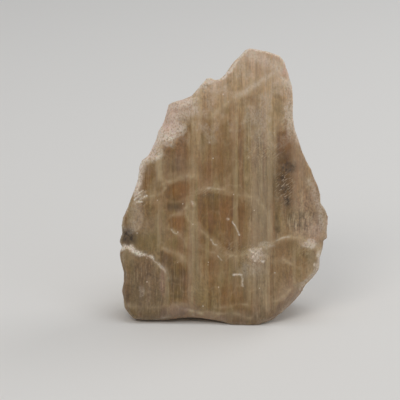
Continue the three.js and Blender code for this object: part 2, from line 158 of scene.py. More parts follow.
# Short open cracks that catch the light, and white bruises: half width, strength, points.
BRUISES = [
    (0.1, 0.9, (1.5, 17.2), (2, 16.3), (2.5, 15.1)),
    (0.09, 0.85, (-2.2, 14.3), (-1.7, 13.7), (-1.2, 13.4)),
    (0.08, 0.55, (-1, 11.6), (-0.3, 10.9)),
    (0.19, 1, (4.3, 12.5), (5.2, 11.8), (5.9, 11), (6.6, 10.6)),
    (0.16, 0.95, (6.2, 12.8), (5.5, 12), (4.6, 11.3)),
    (0.15, 1, (1.6, 8.3), (2.3, 8.45), (3.05, 8.4)),
    (0.13, 0.8, (3.05, 8.4), (3.1, 7.4), (3.1, 6.6)),
    (0.16, 0.26, (-2.7, 22.85), (-1.9, 22.95), (-0.7, 22.5)),
    (0.13, 1, (-15, 21), (-14.3, 21.5), (-13, 22.3)),
    (0.12, 1, (-14.7, 20.6), (-14.1, 21), (-12.9, 21.6)),
    (0.11, 1, (-14.9, 21.6), (-14.5, 21.9), (-13.6, 22.5)),
    (0.1, 0.8, (-14.9, 20.3), (-14.3, 20.6), (-13.7, 20.7)),
    (0.12, 0.38, (8.7, 14.05), (9.8, 14.5), (10.8, 14.7)),
    (0.1, 0.5, (-8.8, 16), (-8.3, 15.4), (-7.6, 15.3)),
    (0.2, 0.55, (-5.3, 20.6), (-5, 20.2)),
    (0.16, 0.6, (0.5, 17.7), (0.7, 17.7)),
    (0.14, 0.8, (5.1, 10.7), (5.2, 10.6)),
    (0.14, 0.7, (15.1, 10), (15.1, 10.2)),
    (0.1, 0.6, (-2.3, 30.6), (-2.3, 30.5)),
    (0.12, 0.6, (-4.3, 39.6), (-3.4, 40.1), (-2.6, 40.3), (-1.4, 40.9)),
    (0.16, 0.55, (9.6, 41.3), (10.1, 40.7), (10.4, 40)),
    (0.12, 0.5, (10.2, 39.4), (10.5, 38.2)),
]
# Clear honey-coloured windows between the veils: strength, width of the soft edge, points round them.
HONEY_WINDOWS = [
    (0.82, 0.7, (-4.5, 17.4), (-4.5, 21.9), (-3.2, 22.5), (-2.4, 22.4), (-1, 22), (2.3, 21.2),
        (2.3, 12.1), (1.5, 12.1), (0.3, 12.6), (-1.3, 14.1), (-3.1, 15.8)),
    (0.58, 0.7, (2.3, 21.3), (4.6, 20.8), (5.4, 19), (5, 17), (2.3, 17.4)),
    (0.26, 0.8, (2.3, 17.4), (5, 17), (5.2, 15), (4.7, 13.2), (3.6, 12.5), (2.3, 12.2)),
    (0.8, 0.7, (-10.4, 22.4), (-9.2, 23.7), (-7.4, 24.2), (-5.6, 24), (-5.6, 22.2), (-6.3, 20.9),
        (-8.1, 20.5), (-9.8, 21)),
    (0.72, 0.6, (-9.4, 17.6), (-8, 18.4), (-6.6, 18.6), (-5.9, 17), (-6.1, 15.6), (-7.6, 15.7),
        (-9.2, 16.2)),
    (1.25, 0.7, (-11.4, 12.2), (-10, 12.8), (-8.6, 11.4), (-7, 10.4), (-6.1, 9), (-6.1, 4.4), (-8.6, 4),
        (-9.2, 8.2), (-9.8, 9.8), (-10.6, 11)),
    (0.38, 0.7, (8.2, 13.4), (9.6, 14.2), (12.2, 14.4), (12, 12.6), (10.4, 12.4), (10.2, 11.2),
        (8.2, 11)),
    (0.3, 0.7, (8.2, 10.4), (10.8, 10.6), (11.8, 9.4), (10.8, 6.6), (9.2, 6), (8.2, 6.4)),
    (0.66, 1, (12.2, 12.8), (14.4, 12.2), (14.6, 10.4), (13.4, 8.6), (11.9, 8.6)),
    (0.22, 0.8, (-4.6, 35.6), (-1.8, 35.8), (-1.6, 38.2), (-4.4, 38.6)),
    (0.5, 0.8, (1, 6.9), (3.8, 6.4), (4.4, 3.6), (4, 2), (1.8, 2.2), (0.6, 4.4)),
    (0.42, 0.9, (-3.9, 11.2), (-0.6, 11.2), (1.2, 10.6), (1.2, 8.8), (-3.9, 8.8)),
    (0.5, 0.8, (-0.8, 6.6), (1, 6.6), (1, 4.6), (-0.8, 4.6)),
    (0.42, 1, (-0.8, 36.6), (1.4, 36.6), (1.5, 34.8), (-1, 34.8)),
    (0.46, 0.8, (2.6, 38.2), (5.4, 38.6), (5.4, 36.4), (2.6, 36.4)),
    (0.5, 1.2, (-3.9, 31), (-1.5, 33.5), (1.5, 34.6), (1.5, 25), (-1, 25), (-3.9, 25.2)),
    (0.36, 0.8, (2.6, 33.5), (4.4, 34.2), (4.4, 21.8), (2.6, 22.2)),
    (0.72, 1, (-10, 29.4), (-8, 31), (-7.4, 32.8), (-5.8, 33), (-5.8, 25.6), (-7.7, 25.6), (-9.8, 25)),
    (0.95, 0.8, (-9, 28.2), (-6.2, 28.4), (-6.2, 25.6), (-9, 25.2)),
    (0.62, 1, (-4.1, 29.8), (-4.1, 34.8), (-3, 36), (-1.4, 35.2), (-0.9, 30)),
    (0.6, 0.8, (3.4, 29.6), (3.4, 36.4), (6.8, 36.4), (6.8, 29.6)),
    (0.46, 0.8, (8.1, 35.4), (8.1, 40.4), (9.8, 40.4), (10, 35.4)),
    (0.34, 0.8, (0.4, 38.6), (0.2, 41), (1.6, 42.6), (3.4, 42), (3.4, 39)),
    (0.4, 0.6, (-8.6, 15), (-6.2, 15), (-6.2, 11.4), (-8.4, 12.4)),
    (0.52, 0.8, (-13.6, 26.6), (-10.9, 27.4), (-10.9, 23.2), (-13.1, 22.2), (-14.6, 21.4),
        (-14.2, 24.2)),
    (0.45, 1.2, (-13.6, 19.8), (-11, 21.3), (-11, 15.6), (-13.4, 15.6)),
    (0.8, 0.9, (-9.9, 20.6), (-5.9, 20.8), (-6.2, 18.8), (-9.4, 18)),
    (1.05, 0.5, (8.9, 32.5), (11, 32.5), (11.4, 29.6), (11.4, 26.6), (8.9, 26.6)),
]
# The ledge of the raised layer on the lower left, and the crushed left edge: white crushed stone, and a
# painted highlight where the ledge faces up to the light. Half width, strength, points.
LEDGES_AND_HIGHLIGHTS = [
    (0.38, 1, (-17.3, 12.6), (-16.4, 13), (-15.5, 13), (-14.7, 12.3), (-13.8, 12)),
    (0.2, 0.8, (-13.8, 12), (-12.9, 11.7), (-12.1, 11.4), (-11.6, 10.9)),
    (0.18, 0.45, (-11.6, 10.9), (-10.7, 10.1), (-9.9, 9.3), (-9.6, 8.9)),
    (0.8, 0.95, (-13.7, 28), (-12.6, 28.7), (-11.6, 30.2), (-10.8, 31.6)),
]
# The pale, slightly rosy rim, partly crushed stone and partly a painted highlight along the edges: half
# width, strength, points along it.
PALE_RIMS_AND_HIGHLIGHTS = [
    (0.85, 0.8, (-14.4, 27.6), (-12.8, 29.6), (-11.5, 31.4), (-10.8, 33.4), (-9.9, 36)),
    (0.9, 0.75, (-9.4, 36.6), (-7.4, 36.9), (-5.4, 37.4)),
    (0.6, 0.36, (-5, 38.6), (-3.6, 40.2), (-2.6, 40.9), (-1.4, 40.7)),
    (0.26, 0.95, (-0.6, 41), (1, 42.4), (3, 45), (4.2, 46)),
    (0.22, 0.8, (4.4, 46.2), (9.2, 45), (10.4, 43.4)),
    (1, 0.42, (4.4, 45.2), (7.6, 43.8), (9.4, 42.8)),
    (1, 0.48, (-9, 34.6), (-7, 35.2), (-5, 35.8)),
    (0.6, 0.9, (-13.8, 27.2), (-14.2, 24.6), (-14.8, 22.4)),
    (0.7, 0.3, (14.4, 24), (15.4, 21), (16.2, 18.6), (16.4, 16.4)),
    (0.26, 0.75, (11, 41.3), (11.6, 38), (11.6, 34.2), (12.4, 31.4)),
    (0.22, 0.45, (12.4, 31.4), (13.7, 28.2), (15, 25.6), (16.2, 22.6)),
    (0.7, 0.16, (10.2, 41), (10.9, 38), (10.7, 35), (11.4, 32.4), (12.5, 30.2)),
    (0.22, 0.4, (-14.4, 26), (-15.4, 22.6), (-16.6, 19.6), (-17.1, 17)),
    (0.35, 0.45, (16.2, 21.4), (17.2, 19.4), (17.3, 15.4), (16.9, 12.6), (16.2, 10.2)),
    (0.4, 0.44, (16, 11.6), (15.4, 9.6), (14.2, 7.8), (12.8, 6.2)),
    (0.5, 0.34, (3, 38.7), (4.8, 39.8), (6.4, 40.8), (8.2, 42)),
    (0.4, 0.16, (12.8, 5.8), (12, 4.6), (9.6, 2.2)),
]
# Soft-edged patches: middle across, middle up, half width, half height, strength.
AMBER_PATCHES = [
    (-7.3, 22.6, 1.8, 1.3, 1), (-7.6, 17.2, 1.4, 1.2, 0.85), (0.3, 17.8, 1.4, 4.4, 0.75),
    (3.5, 17.8, 1.3, 3.6, 0.55), (-1.8, 27.6, 2.4, 3.6, 0.4), (10.6, 30.2, 1.3, 2.2, 0.95),
    (-2.6, 35, 1.8, 4, 0.6), (-6.6, 31.4, 1, 1.8, 0.45), (11, 24.6, 1.6, 4, 0.9),
    (-2.4, 17.8, 1.5, 3, 0.5), (-0.8, 34, 3.2, 3.8, 0.3), (-1.2, 30.4, 2.6, 2.2, 0.25),
    (-7.6, 28.6, 1.6, 2.2, 0.35), (-8.1, 10.2, 1.4, 1.9, 0.5), (9.5, 11, 1.6, 3.6, 0.58),
    (10.3, 42.6, 0.6, 0.7, 0.5), (3.4, 38.6, 1.2, 1.8, 0.28), (12.8, 21.2, 1.4, 2, 0.15),
    (1.6, 5, 2, 1.8, 0.6), (-2, 8.6, 1.8, 2.4, 0.35), (9.6, 29, 0.8, 1, 0.4), (-8.8, 31, 1, 0.8, 0.6),
    (12.6, 9.6, 1.4, 1.4, 0.3), (-12.4, 24.4, 1.2, 1.8, 0.4),
]
OLIVE_PATCHES = [
    (-12.9, 13.9, 2.7, 1.9, 1), (-2.6, 20.8, 1.8, 1.4, 0.3), (-9, 13.6, 1.6, 1, 0.6),
    (-7.8, 5.2, 1.4, 2, 0.6), (-10.2, 27, 1.4, 2, 0.35), (9, 18, 0.5, 3.4, 0.45), (-2, 6, 2.6, 3, 0.25),
    (-8.4, 9.4, 1.6, 2.4, 0.45),
]
GREY_PATCHES = [
    (6.2, 16, 1.7, 19, 0.75), (13.6, 18.4, 3, 3.6, 0.56), (-4.9, 10, 0.9, 9, 0.45),
    (-9, 26.6, 4.4, 1.6, 0.25), (2, 8, 0.5, 4, 0.4), (-14.6, 19, 1.2, 3, 0.4), (15.8, 14, 2, 9, 0.6),
    (12.6, 30, 1.6, 6, 0.4), (8, 8, 5.5, 8, 0.35), (-12, 16, 2.2, 2.6, 0.4), (-15.4, 12.4, 2, 1.8, 0.5),
]
# Dun, less see-through stone, and painted shade: the rows along the foot and on the lower right bevel
# darken the edges that turn down, away from the light.
DUN_AND_SHADE_PATCHES = [
    (-13, 6.2, 4, 5.4, 0.9), (-7.6, 2.2, 4.4, 1.4, 0.8), (-16.4, 15, 1.2, 2, 0.5),
    (12, 3.8, 2.4, 2.6, 0.9), (8.6, 2.4, 2.6, 1.2, 0.6), (-9, 0.8, 9, 1.5, 1), (3, 0.8, 6, 1.5, 0.8),
]
# Smoky inclusions. The rows low along the foot (-6.5, 1.7) and on the lower right bevel (10.4, 3.4) are
# painted shade.
SMOKE_AND_SHADE_PATCHES = [
    (10.7, 26.2, 1.4, 1.1, 0.92), (9.8, 24.5, 1.3, 1.2, 0.72), (10.1, 22.8, 1.3, 1.3, 0.76),
    (10.6, 20.7, 0.7, 1.1, 0.86), (10, 24.4, 1.7, 4.6, 0.55), (5.2, 26.9, 0.4, 0.9, 0.3),
    (8.95, 15.9, 0.45, 0.55, 0.62), (8.9, 18.6, 0.35, 2.4, 0.25), (11.2, 21.8, 0.4, 0.8, 0.4),
    (-16, 14.9, 1.35, 1.25, 1), (-8, 19.8, 1.4, 0.6, 0.44), (2.75, 29.2, 0.2, 1.4, 0.4),
    (-6.5, 1.7, 8, 1.2, 0.24), (10.4, 3.4, 1.8, 1, 0.15), (14.2, 16.4, 2.4, 1.8, 0.08),
    (3.6, 9.8, 0.9, 0.3, 0.34), (-8.2, 34.7, 1.2, 0.4, 0.16), (9.8, 13, 1.3, 0.7, 0.14),
    (-3, 40.1, 0.45, 0.25, 0.5),
]
CHALK_PATCHES = [
    (-9.4, 32.4, 1.6, 2, 0.84), (-10.4, 33.8, 1, 1.6, 0.6), (-12.1, 28.9, 1.9, 0.9, 0.6),
    (4.6, 9.2, 2, 1.4, 0.16), (10.9, 34.8, 0.7, 3, 0.3), (10.7, 40.4, 0.7, 1.2, 0.34),
    (-9.6, 36.2, 0.9, 1.4, 0.35), (-2.6, 41, 0.6, 0.4, 0.6), (-3.7, 40, 0.6, 0.4, 0.5),
    (-14.2, 21.5, 1, 0.7, 0.2), (-8, 32.6, 1.5, 1.3, 0.56), (-8.9, 35.4, 1.1, 1.6, 0.34),
    (-11.6, 28.6, 0.9, 1, 0.6), (16.1, 10.5, 0.6, 2.2, 0.55), (-14.8, 18.4, 1.2, 3, 0.14),
    (15.4, 15.6, 1.4, 1.3, 0.14), (-13.7, 5.6, 0.4, 0.9, 0.13), (14.4, 13.6, 1.3, 0.6, 0.55),
    (5.6, 11.7, 1.2, 0.9, 0.4), (-9.4, 30.4, 1.2, 0.8, 0.4), (6.9, 13.4, 1.3, 0.5, 0.26),
    (-15.6, 12.9, 1, 0.4, 0.75), (12.4, 32, 0.5, 1.4, 0.45),
]
BLUSH_PATCHES = [
    (-7.8, 36.6, 2.6, 1.8, 0.9), (-9.2, 33.6, 1.8, 1.8, 0.7), (10.4, 42.3, 0.7, 1, 1),
    (-10.2, 7.4, 0.5, 2.4, 0.55), (-7, 2.4, 2.8, 1, 0.2), (14.2, 15.8, 2.8, 2.2, 0.56),
    (12.4, 3.4, 3.4, 3.4, 0.55), (12.8, 24.5, 1.4, 4.5, 0.45), (13.2, 20.8, 1.6, 2, 0.4),
    (6, 43.5, 2.4, 1.6, 0.45), (-11.2, 31, 1.6, 2, 0.4), (-9.6, 34.6, 1.6, 2.2, 0.9),
    (5.6, 11.6, 1.8, 1.4, 0.26), (-4, 1.2, 4.6, 0.9, 0.42), (-7.6, 2.6, 3, 0.9, 0.38),
    (-7, 36.9, 1.6, 0.8, 1), (-12.4, 28.8, 1.4, 1, 0.45),
]
# Where the single fibres show most.
FIBRE_PATCHES = [
    (6, 30, 2.6, 14, 0.9), (5, 42, 5.5, 5, 0.85), (14.2, 17, 2.6, 2.2, 1), (6.4, 7, 1.9, 5.5, 0.85),
    (12.9, 24, 1.8, 5.5, 0.7), (-1, 38.5, 4, 4, 0.55), (-8, 7, 2.2, 3.5, 0.65), (-12.6, 6.2, 3.2, 4, 0.9),
    (-12.4, 24, 2, 4, 0.55),
]
# Where the stone is broken up fine and looks granular.
GRANULAR_PATCHES = [
    (-12.8, 6.4, 4.4, 6, 0.66), (14, 18, 3.6, 5, 1), (11, 8.6, 5.5, 6, 0.35), (-14.5, 20, 2.6, 5, 0.7),
    (-9.6, 32.4, 3.2, 4.2, 0.8), (6.4, 29, 2.8, 4, 0.45), (11, 36.8, 1.2, 6, 0.8), (-6, 38.6, 4.2, 3, 0.6),
    (10, 23.6, 2, 4.4, 0.9), (4.6, 11.6, 3, 2.2, 0.6), (-4, 4, 4, 4, 0.4), (-4, 39.6, 2.2, 2.4, 1),
]
# A comb of short dark fibre ends crosses the right lobe.
COMB_PATCHES = [
    (13.6, 17.2, 3.4, 1.5, 1), (8.9, 14.9, 0.7, 0.5, 0.7), (-8.2, 11, 1.4, 0.8, 0.4),
]
# Fine cracks lie criss-cross here.
HATCH_PATCHES = [
    (10.2, 23, 1.4, 2.4, 1), (6.6, 28.8, 2.4, 2, 0.7), (9.6, 29, 1.4, 1.2, 0.3), (5.4, 11.6, 2, 1.6, 0.8),
    (1.6, 12.6, 3.4, 1.4, 0.4), (-14, 21, 1.2, 1.2, 0.7), (-3, 22.4, 2.4, 0.7, 0.5),
    (14.2, 12.8, 2, 1.2, 0.5), (10.8, 34.6, 1.2, 3.2, 0.7),
]
# Marks that are only patches: their rows, how soft their edge is, how strongly they show on the back, and
# how much of the mark lies all over the back.
PATCH_MARKS = {
    "blush": (BLUSH_PATCHES, 0.6, 0, 0),
    "olive": (OLIVE_PATCHES, 0.6, 0.6, 0),
    "dun_and_shade": (DUN_AND_SHADE_PATCHES, 0.5, 0, 0),
    "grey": (GREY_PATCHES, 0.6, 0.6, 0),
    "amber": (AMBER_PATCHES, 0.7, 0.6, 0.14),
    "hatch": (HATCH_PATCHES, 0.6, 0, 0),
    "fibre": (FIBRE_PATCHES, 0.6, 0, 0.8),
    "granular": (GRANULAR_PATCHES, 0.6, 0, 0.4),
    "comb": (COMB_PATCHES, 0.6, 0, 0),
}


# ---------------- small tools
# Large odd numbers that turn the corner of a lattice and a seed into a value that looks random.
STIR_CORNER = (73856093, 19349663, 83492791)
STIR_SEED = 2654435761
STIR_BITS = ((15, 2246822519), (13, 3266489917))
LOW_32_BITS = 0xFFFFFFFF
SEED_SHIFT = 31          # how many cells of the lattice one seed lies from the next
NOISE_LAYERS = 3
NOISE_HEIGHT = 1.6       # about the most that the layers come to
UNIT_PITCH = (1, 1, 1)
CURVE_STEPS = 6          # straight pieces of a smooth line between two given points
TINY = 1e-12             # keeps a division off 0


def linear_colour(hex_code):
    """The linear colour of an sRGB hex code."""
    channels = [int(hex_code[i:i + 2], 16) / 255 for i in (0, 2, 4)]
    linear = [c / 12.92 if c <= 0.04045 else ((c + 0.055) / 1.055) ** 2.4 for c in channels]
    return (*linear, 1.0)


def smooth_step(start, full, x):
    """0 up to start, 1 from full on, and a soft change between them. Full may be the smaller of the two."""
    share = np.clip((x - start) / (full - start), 0.0, 1.0)
    return share * share * (3 - 2 * share)


def corner_value(corner, seed):
    """A random value from -1 to 1 for each corner of a lattice, the same on every run."""
    key = corner[:, 0] * STIR_CORNER[0] ^ corner[:, 1] * STIR_CORNER[1] ^ corner[:, 2] * STIR_CORNER[2]
    key = (key ^ (seed * STIR_SEED)) & LOW_32_BITS
    for shift, factor in STIR_BITS:
        key = ((key ^ (key >> shift)) * factor) & LOW_32_BITS
    return ((key ^ (key >> 16)) & 0xFFFF) / 32767.5 - 1.0


def lattice_noise(points, pitch, seed):
    """Smooth noise from -1 to 1 between the corners of a lattice of the given pitch."""
    scaled = points / np.asarray(pitch, float) + SEED_SHIFT * seed
    cell = np.floor(scaled)
    share = scaled - cell
    share = share * share * share * (share * (share * 6 - 15) + 10)
    corner = cell.astype(np.int64)
    total = np.zeros(len(points))
    for step in itertools.product((0, 1), repeat=3):
        weight = np.prod(np.where(step, share, 1 - share), axis=1)
        total += weight * corner_value(corner + step, seed)
    return total


def layered_noise(points, pitch, seed):
    """Smooth noise from about -1 to 1, with finer and fainter layers over it."""
    total = np.zeros(len(points))
    for layer in range(NOISE_LAYERS):
        total += lattice_noise(points, np.asarray(pitch) / 2 ** layer, seed + layer) / 2 ** layer
    return total / NOISE_HEIGHT


def raised(noise, place, height, *form):
    """Noise of a kind and form, raised to its height."""
    return height * noise(place, *form)


def broken_length(place, lath, length, seed):
    """Numbers the lengths that each lath is broken into. Each lath breaks at heights of its own."""
    return np.floor(place[:, 2] / length + 3 * lattice_noise(lath, UNIT_PITCH, seed + 1))


def laths(place, width, length, seed):
    """One value from -1 to 1 for each lath, the slim rhombic prisms that the mineral cleaves into."""
    warp = 0.10 * width * lattice_noise(place, (3 * width, 3 * width, 0.6 * length), seed + 5)
    across = place[:, 0] * math.cos(CLEAVAGE_HALF_ANGLE)
    deep = place[:, 1] * math.sin(CLEAVAGE_HALF_ANGLE)
    one = np.floor((across + deep + warp) / width)
    other = np.floor((across - deep + warp) / width)
    lath = np.stack([one, other, np.zeros(len(place))], axis=1)
    lath[:, 2] = broken_length(place, lath, length, seed)
    return lattice_noise(lath, UNIT_PITCH, seed + 2)


def fluting(place, width, length, seed):
    """Height from 0 to 1 over long flat facets, whose ridges and furrows run straight along the fibres."""
    across = place[:, 0] * math.cos(CLEAVAGE_HALF_ANGLE) + place[:, 1] * math.sin(CLEAVAGE_HALF_ANGLE)
    strip = np.floor(across / width)
    share = across / width - strip
    facet = np.stack([strip, np.zeros(len(place)), np.zeros(len(place))], axis=1)
    facet[:, 2] = broken_length(place, facet, length, seed)
    ridge = 0.5 + 0.28 * lattice_noise(facet, UNIT_PITCH, seed + 2)
    height = 0.65 + 0.35 * lattice_noise(facet, UNIT_PITCH, seed + 3)
    return height * np.where(share < ridge, share / ridge, (1 - share) / (1 - ridge))


def curve_through(points):
    """A smooth line through given points."""
    ends = [points[0], *points, points[-1]]
    line = []
    for a, b, c, d in zip(ends, ends[1:], ends[2:], ends[3:]):
        a, b, c, d = (np.array(p, float) for p in (a, b, c, d))
        for step in range(CURVE_STEPS):
            t = step / CURVE_STEPS
            line.append(0.5 * (2 * b + (c - a) * t + (2 * a - 5 * b + 4 * c - d) * t ** 2
                               + (3 * b - a - 3 * c + d) * t ** 3))
    line.append(np.array(points[-1], float))
    return line


def distance_to_line(spots, line):
    """How far each spot on the face is from a line."""
    nearest = np.full(len(spots), np.inf)
    for a, b in zip(line, line[1:]):
        along = b - a
        share = np.clip((spots - a) @ along / max(along @ along, TINY), 0.0, 1.0)
        nearest = np.minimum(nearest, np.linalg.norm(spots - a - share[:, None] * along, axis=1))
    return nearest


def depth_inside(spots, line):
    """How deep each spot lies inside a closed line, and 0 outside it."""
    inside = np.zeros(len(spots), bool)
    for a, b in zip(line, line[1:] + line[:1]):
        crosses = (a[1] > spots[:, 1]) != (b[1] > spots[:, 1])
        rise = b[1] - a[1] if abs(b[1] - a[1]) > TINY else TINY
        inside ^= crosses & (spots[:, 0] < a[0] + (spots[:, 1] - a[1]) * (b[0] - a[0]) / rise)
    return np.where(inside, distance_to_line(spots, line + line[:1]), 0.0)


def patches(spots, rows, edge):
    """The strength of soft patches at each spot on the face."""
    cover = np.zeros(len(spots))
    for across, up, half_width, half_height, strength in rows:
        reach = np.hypot((spots[:, 0] - across) / half_width, (spots[:, 1] - up) / half_height)
        cover = np.maximum(cover, strength * (1 - smooth_step(1 - edge, 1 + edge, reach)))
    return cover


def rows_of_three(collection, kind):
    flat = np.zeros(len(collection) * 3, np.float32)
    collection.foreach_get(kind, flat)
    return flat.reshape(-1, 3).astype(float)


def coordinates(mesh):
    return rows_of_three(mesh.vertices, "co")


def vertex_normals(mesh):
    return rows_of_three(mesh.vertex_normals, "vector")


def move_points(mesh, points):
    mesh.vertices.foreach_set("co", points.astype(np.float32).ravel())
    mesh.update()


def plain_mesh(piece):
    """The mesh of a piece with its modifiers worked in."""
    evaluated = piece.evaluated_get(bpy.context.evaluated_depsgraph_get())
    return bpy.data.meshes.new_from_object(evaluated)


# ---------------- the stone's shape
def fine_copy(node):
    """A copy of the solid in millimetres, merged and remeshed evenly."""
    shape = bmesh.new()
    shape.from_mesh(node.data)
    bmesh.ops.remove_doubles(shape, verts=shape.verts, dist=SAME_POINT)
    bmesh.ops.scale(shape, vec=(1 / MM, 1 / MM, 1 / MM), verts=shape.verts)
    coarse = bpy.data.meshes.new("stone_coarse")
    shape.to_mesh(coarse)
    shape.free()
    stone = bpy.data.objects.new("winchite_stone", coarse)
    bpy.context.scene.collection.objects.link(stone)
    remesh = stone.modifiers.new("even_grain", "REMESH")
    remesh.mode = "VOXEL"
    remesh.voxel_size = GRAIN_OF_MESH
    stone.data = plain_mesh(stone)
    stone.modifiers.clear()
    bpy.data.meshes.remove(coarse)
    return stone


def on_face(points):
    """Points of the stone in the frame of the broad face: across, deep, up."""
    return (points - FACE_ORIGIN) @ FACE_AXES


def share_of_face(place, facing, turned, deep):
    """1 on the broad face, and 0 where the stone looks another way or lies deep."""
    return smooth_step(*turned, facing) * (1 - smooth_step(*deep, place[:, 1]))


def rim_distance(place, facing):
    """How far each point of the broad face is from its broken edge."""
    edge = np.flatnonzero(facing < RIM_FACING)
    tree = kdtree.KDTree(len(edge))
    for i, v in enumerate(edge):
        tree.insert(place[v], i)
    tree.balance()
    return np.array([0.0 if facing[i] < RIM_FACING else tree.find(place[i])[2] for i in range(len(place))])


def straight_depth(place, back):
    """How deep the back lies at each point if its cleavage planes run straight along the fibres."""
    spots = place[:, [0, 2]] / STRAIGHT_PITCH
    spots = spots - np.floor(spots.min(axis=0))
    size = np.ceil(spots.max(axis=0)).astype(int) + 2
    nearest = np.round(spots[back]).astype(int)
    cell = nearest[:, 0] * size[1] + nearest[:, 1]
    count = np.bincount(cell, minlength=size.prod()).reshape(size)
    total = np.bincount(cell, place[back, 1], size.prod()).reshape(size)
    rows = np.arange(size[1])
    level = np.zeros(size)
    for column in np.flatnonzero(count.sum(axis=1)):
        seen = count[column] > 0
        level[column] = np.interp(rows, rows[seen], total[column, seen] / count[column, seen])
    padded = np.pad(level, ((0, 0), (STRAIGHT_REACH, STRAIGHT_REACH)), "edge")
    windows = np.lib.stride_tricks.sliding_window_view(padded, 2 * STRAIGHT_REACH + 1, axis=1)
    level = np.median(windows, axis=-1)
    corner = np.floor(spots).astype(int)
    share = spots - corner
    depth = np.zeros(len(place))
    for i, j in itertools.product((0, 1), repeat=2):
        weight = np.prod(np.where((i, j), share, 1 - share), axis=1)
        depth += weight * level[corner[:, 0] + i, corner[:, 1] + j]
    return depth


def straighten_back(stone):
    """Draws the back's planes straight along the fibres, as the mineral cleaves."""
    mesh = stone.data
    points = coordinates(mesh)
    place = on_face(points)
    deep_facing = (vertex_normals(mesh) @ FACE_AXES)[:, 1]
    move = straight_depth(place, deep_facing > BACK_FACING) - place[:, 1]
    move = move * smooth_step(STRAIGHTEN_MOST, 0.5 * STRAIGHTEN_MOST, np.abs(move))
    move = move * smooth_step(*BACK_STRAIGHTENS, deep_facing) * smooth_step(*FOOT_STAYS, points[:, 2])
    move_points(mesh, points + move[:, None] * FACE_AXES[:, 1])


def weather(stone):
    """Gives the mesh its fibres, flutes, splinters and crumbled rims. Returns where it is broad face."""
    mesh = stone.data
    points = coordinates(mesh)
    normals = vertex_normals(mesh)
    place = on_face(points)
    facing = -(normals @ FACE_AXES)[:, 1]
    front = share_of_face(place, facing, *FACE_OF_RELIEF)
    back = 1 - front
    striae = raised(layered_noise, place, *STRIAE) + raised(laths, place, *FINE_LATHS)
    grain = raised(layered_noise, place, *GRAIN)
    splinters = sum(height * (fluting(place, *form) - FLUTE_MIDDLE) for height, *form in FLUTES)
    splinters += raised(laths, place, *SPLINTERS)
    spots = place[:, [0, 2]]
    rim = np.exp(-((rim_distance(place, facing) / CRUMBLED_RIM) ** 2))
    crumbly = np.maximum(RIM_CRUMBLE * rim, patches(spots, CHALK_PATCHES, CHALK_EDGE))
    crumbly = np.maximum(crumbly, GRANULAR_CRUMBLE * patches(spots, GRANULAR_PATCHES, CHALK_EDGE)) * front
    behind_rim = smooth_step(*BEHIND_RIM, place[:, 1])
    push = front * (striae + grain) + back * behind_rim * splinters
    push += crumbly * raised(layered_noise, place, *CRUMBLE)
    push += back * (1 - behind_rim) * raised(layered_noise, place, *TORN_EDGE)
    near_ground = 1 - smooth_step(*NEAR_GROUND, points[:, 2])
    push = push * (1 - near_ground * smooth_step(0.5, 0.9, -normals[:, 2]))
    points = points + normals * push[:, None]
    points[:, 2] = np.maximum(points[:, 2], 0.0)
    move_points(mesh, points)
    return front


def thin_out(stone, front):
    """Drops triangles where the surface is plain, and spares the broad face."""
    spare = stone.vertex_groups.new(name="hidden_side")
    for i in np.flatnonzero(front < 0.5):
        spare.add([int(i)], 1.0, "REPLACE")
    triangles = sum(len(face.vertices) - 2 for face in stone.data.polygons)
    thin = stone.modifiers.new("thin_out", "DECIMATE")
    thin.ratio = min(1.0, TRIANGLE_BUDGET / triangles)
    thin.use_collapse_triangulate = True
    thin.vertex_group = spare.name
    thin.vertex_group_factor = 1.0
    stone.data = plain_mesh(stone)
    stone.modifiers.clear()
    stone.vertex_groups.clear()
    points = coordinates(stone.data)
    points[:, 2] = np.maximum(points[:, 2], 0.0)
    move_points(stone.data, points)


# ---------------- the stone's marks
def crest_height(mesh):
    """How far each point stands out of its neighbours: positive on crests, negative in grooves."""
    points = coordinates(mesh)
    pairs = np.zeros(len(mesh.edges) * 2, np.int32)
    mesh.edges.foreach_get("vertices", pairs)
    pairs = pairs.reshape(-1, 2)
    count = np.bincount(pairs.ravel(), minlength=len(points)).astype(float)

    def of_neighbours(values):
        total = np.zeros(values.shape)
        for axis in range(values.shape[1]):
            total[:, axis] += np.bincount(pairs[:, 0], values[pairs[:, 1], axis], len(points))
            total[:, axis] += np.bincount(pairs[:, 1], values[pairs[:, 0], axis], len(points))
        return total / count[:, None]

    smooth = points
    for _ in range(WEAR_REACH):
        smooth = of_neighbours(smooth)
    wear = np.einsum("ij,ij->i", points - smooth, vertex_normals(mesh))[:, None]
    for _ in range(WEAR_SOFTENING):
        wear = of_neighbours(wear)
    return wear[:, 0]


def astray(place, pitch, seeds):
    """Noise that leads marks astray across and up the face."""
    return np.stack([layered_noise(place, pitch, seed) for seed in seeds], axis=1)


def upright_marks(spots, place, rows, fade, profile):
    """The strength of narrow marks that run up the fibres and fade out at both ends."""
    up = place[:, 2]
    sway = 0.10 * lattice_noise(place, (9, 9, 7), 63)
    cover = np.zeros(len(spots))
    for across, low, high, half_width, strength in rows:
        aside = np.abs(spots[:, 0] - across + sway) / half_width
        ends = smooth_step(low - fade, low + fade, up) * (1 - smooth_step(high - fade, high + fade, up))
        cover = np.maximum(cover, strength * profile(aside) * ends)
    return cover


def line_marks(spots, rows):
    """The strength of soft marks that follow lines on the face."""
    cover = np.zeros(len(spots))
    for half_width, strength, *points in rows:
        far = distance_to_line(spots, curve_through(points)) / half_width
        cover = np.maximum(cover, strength * np.exp(-far ** 2))
    return cover


def clear_windows(spots):
    """The strength of the clear windows, which fades in from their outline."""
    cover = np.zeros(len(spots))
    for strength, edge, *points in HONEY_WINDOWS:
        line = [np.array(point, float) for point in points]
        cover = np.maximum(cover, strength * smooth_step(-0.05, 0.7 * edge, depth_inside(spots, line)))
    return cover


